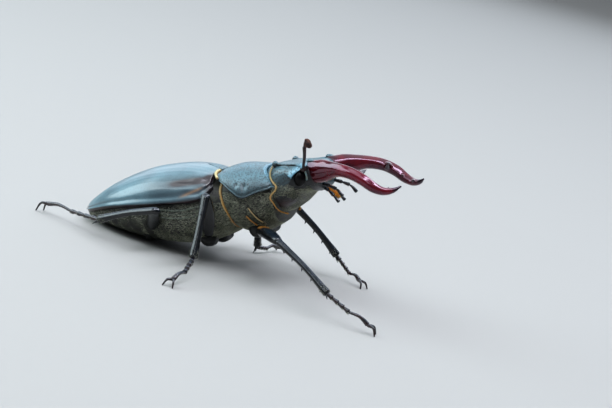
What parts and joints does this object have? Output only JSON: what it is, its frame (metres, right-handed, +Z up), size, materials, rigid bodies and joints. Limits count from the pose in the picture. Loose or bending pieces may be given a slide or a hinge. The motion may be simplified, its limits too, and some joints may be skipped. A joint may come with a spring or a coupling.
{
  "type": "stag beetle",
  "caption": "Life-size male stag beetle, standing still with its forebody raised and its long toothed jaws open.",
  "frame": {"origin": "on the floor under the middle of the beetle's bounding box", "axes": "+X towards the jaws, +Y to the beetle's left, +Z up; the floor is z = 0"},
  "size_m": [0.056, 0.0444, 0.0234],
  "materials": {
    "wing_case": "polished dark maroon-black chitin",
    "dark_cuticle": "satin black chitin with fine punctures",
    "belly_cuticle": "dull dark chitin under short golden down",
    "jaw": "polished dark red chitin, black at the tips",
    "eye": "glossy, very finely faceted",
    "leg_cuticle": "glossy black chitin",
    "foot_cuticle": "glossy red-brown chitin, black claws",
    "antenna_cuticle": "dark brown, the club dull and downy",
    "mouth_hair": "dense orange hair"
  },
  "bodies": {
    "root": {"abdomen": "belly_cuticle", "antenna_left_club": "antenna_cuticle", "antenna_left_funicle": "antenna_cuticle", "antenna_left_scape": "antenna_cuticle", "antenna_right_club": "antenna_cuticle", "antenna_right_funicle": "antenna_cuticle", "antenna_right_scape": "antenna_cuticle", "elytron_left": "wing_case", "elytron_right": "wing_case", "eye_left": "eye", "eye_right": "eye", "head": "dark_cuticle", "labial_palp_left": "leg_cuticle", "labial_palp_right": "leg_cuticle", "labrum": "dark_cuticle", "leg_left_front_coxa": "leg_cuticle", "leg_left_front_femur": "leg_cuticle", "leg_left_front_tarsus": "foot_cuticle", "leg_left_front_tibia": "leg_cuticle", "leg_left_hind_coxa": "leg_cuticle", "leg_left_hind_femur": "leg_cuticle", "leg_left_hind_tarsus": "foot_cuticle", "leg_left_hind_tibia": "leg_cuticle", "leg_left_middle_coxa": "leg_cuticle", "leg_left_middle_femur": "leg_cuticle", "leg_left_middle_tarsus": "foot_cuticle", "leg_left_middle_tibia": "leg_cuticle", "leg_right_front_coxa": "leg_cuticle", "leg_right_front_femur": "leg_cuticle", "leg_right_front_tarsus": "foot_cuticle", "leg_right_front_tibia": "leg_cuticle", "leg_right_hind_coxa": "leg_cuticle", "leg_right_hind_femur": "leg_cuticle", "leg_right_hind_tarsus": "foot_cuticle", "leg_right_hind_tibia": "leg_cuticle", "leg_right_middle_coxa": "leg_cuticle", "leg_right_middle_femur": "leg_cuticle", "leg_right_middle_tarsus": "foot_cuticle", "leg_right_middle_tibia": "leg_cuticle", "mandible_left": "jaw", "mandible_right": "jaw", "maxillary_palp_left": "leg_cuticle", "maxillary_palp_right": "leg_cuticle", "mouth_brush": "mouth_hair", "pronotum": "dark_cuticle", "prosternum": "belly_cuticle", "pterothorax": "belly_cuticle", "scutellum": "dark_cuticle"}
  },
  "joints": []
}
